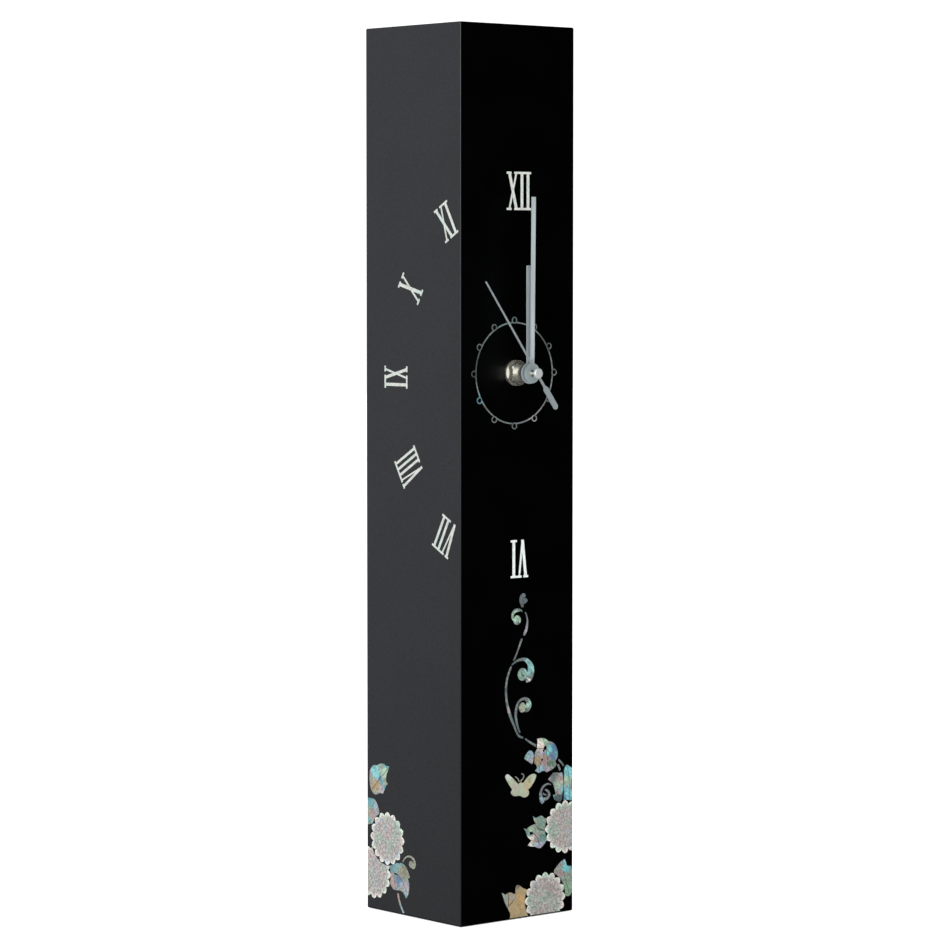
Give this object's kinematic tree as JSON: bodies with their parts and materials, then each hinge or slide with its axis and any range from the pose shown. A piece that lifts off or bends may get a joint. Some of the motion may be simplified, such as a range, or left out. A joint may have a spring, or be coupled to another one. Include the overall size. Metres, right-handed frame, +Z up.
{
  "type": "column clock",
  "caption": "Tall square column clock in black lacquer with shell inlay, three bare metal hands and a battery quartz movement behind a rear door.",
  "frame": {"origin": "centre of the underside of the felt base", "axes": "+Z up, the dial faces -Y, +X to the right of someone who reads the dial"},
  "size_m": [0.0754, 0.0938, 0.45],
  "materials": {
    "black_lacquer": "deep black gloss lacquer over fibreboard",
    "black_felt": "thin pressed felt",
    "plain_wood": "bare wood",
    "steel": "plain",
    "black_plastic": "moulded",
    "white_plastic": "moulded",
    "brass": "pale, lightly polished",
    "black_rubber": "soft",
    "battery_film": "plain film sleeve",
    "green_board": "solder mask",
    "copper_wire": "enamelled copper winding",
    "ferrite": "sintered magnet",
    "silver_metal": "satin silver",
    "white_shell": "cream shell under clear lacquer",
    "green_shell": "iridescent green and teal shell under clear lacquer",
    "pale_shell": "pale shell with engraved petals under clear lacquer",
    "gold_shell": "golden shell under clear lacquer"
  },
  "bodies": {
    "case": {"front_panel": "black_lacquer", "back_panel": "black_lacquer", "left_panel": "black_lacquer", "right_panel": "black_lacquer", "top_panel": "black_lacquer", "bottom_panel": "black_lacquer", "base_felt": "black_felt", "case_magnets": "steel", "door_stops": "plain_wood", "movement_tray": "black_plastic", "movement_cover": "black_plastic", "middle_plate": "white_plastic", "threaded_bush": "brass", "rubber_washer": "black_rubber", "brass_washer": "brass", "hex_nut": "brass", "contact_positive": "steel", "contact_negative": "steel", "circuit_board": "green_board", "driver_chip": "black_plastic", "quartz_crystal": "steel", "coil_bobbin": "white_plastic", "coil_winding": "copper_wire", "coil_core": "steel", "stator_plate": "steel", "numerals_front": "white_shell", "numerals_left": "white_shell", "numerals_right": "white_shell", "minute_ring": "white_shell", "vine_front": "green_shell", "leaves_front": "green_shell", "gold_leaf": "gold_shell", "leaves_left": "green_shell", "butterfly": "gold_shell", "tendrils_left": "green_shell", "flowers_front": "pale_shell", "flowers_right": "pale_shell", "flowers_left": "pale_shell", "flowers_back": "pale_shell"},
    "door": {"rear_door": "black_lacquer", "door_magnets": "steel"},
    "battery": {"battery_can": "steel", "battery_sleeve": "battery_film"},
    "second_train": {"second_hand": "silver_metal", "second_hand_cap": "silver_metal", "second_wheel": "white_plastic"},
    "third": {"third_wheel": "white_plastic"},
    "centre": {"centre_wheel": "white_plastic"},
    "intermediate": {"intermediate_wheel": "white_plastic"},
    "rotor": {"rotor_magnet": "ferrite", "rotor_pinion": "white_plastic"},
    "minute_train": {"minute_hand": "silver_metal", "minute_cannon": "brass"},
    "minute_idler": {"minute_wheel": "white_plastic"},
    "hour_train": {"hour_hand": "silver_metal", "hour_wheel": "black_plastic"},
    "setting": {"setting_gear": "white_plastic", "setting_knob": "black_plastic"}
  },
  "joints": [
    {"name": "second_hand_spin", "type": "hinge", "parent": "case", "child": "second_train", "pos_m": [-0.002, -0.029, 0.2764], "axis": [0, 1, 0], "continuous": true},
    {"name": "third_wheel_spin", "type": "hinge", "parent": "case", "child": "third", "pos_m": [-0.00921, -0.029, 0.28361], "axis": [0, 1, 0], "continuous": true},
    {"name": "centre_wheel_spin", "type": "hinge", "parent": "case", "child": "centre", "pos_m": [-0.002, -0.029, 0.2764], "axis": [0, 1, 0], "continuous": true},
    {"name": "intermediate_wheel_spin", "type": "hinge", "parent": "case", "child": "intermediate", "pos_m": [0.00436, -0.029, 0.28276], "axis": [0, 1, 0], "continuous": true},
    {"name": "rotor_spin", "type": "hinge", "parent": "case", "child": "rotor", "pos_m": [0.01236, -0.029, 0.28632], "axis": [0, 1, 0], "continuous": true},
    {"name": "minute_hand_spin", "type": "hinge", "parent": "case", "child": "minute_train", "pos_m": [-0.002, -0.029, 0.2764], "axis": [0, 1, 0], "continuous": true},
    {"name": "minute_wheel_spin", "type": "hinge", "parent": "case", "child": "minute_idler", "pos_m": [-0.0116, -0.029, 0.2764], "axis": [0, 1, 0], "continuous": true},
    {"name": "hour_hand_spin", "type": "hinge", "parent": "case", "child": "hour_train", "pos_m": [-0.002, -0.029, 0.2764], "axis": [0, 1, 0], "continuous": true},
    {"name": "setting_knob_spin", "type": "hinge", "parent": "case", "child": "setting", "pos_m": [-0.0205, -0.029, 0.28], "axis": [0, 1, 0], "continuous": true},
    {"name": "rear_door_lift_off", "type": "slide", "parent": "case", "child": "door", "axis": [0, 1, 0], "range_m": [0, 0.06]},
    {"name": "battery_out", "type": "slide", "parent": "case", "child": "battery", "axis": [0, 1, 0], "range_m": [0, 0.03]}
  ],
  "couplings": [
    {"joint": "third_wheel_spin", "follows": "second_hand_spin", "ratio": -0.13333},
    {"joint": "centre_wheel_spin", "follows": "second_hand_spin", "ratio": 0.016667},
    {"joint": "intermediate_wheel_spin", "follows": "second_hand_spin", "ratio": -5},
    {"joint": "rotor_spin", "follows": "second_hand_spin", "ratio": 30},
    {"joint": "minute_wheel_spin", "follows": "minute_hand_spin", "ratio": -0.33333},
    {"joint": "hour_hand_spin", "follows": "minute_hand_spin", "ratio": 0.083333},
    {"joint": "setting_knob_spin", "follows": "minute_hand_spin", "ratio": 1}
  ]
}
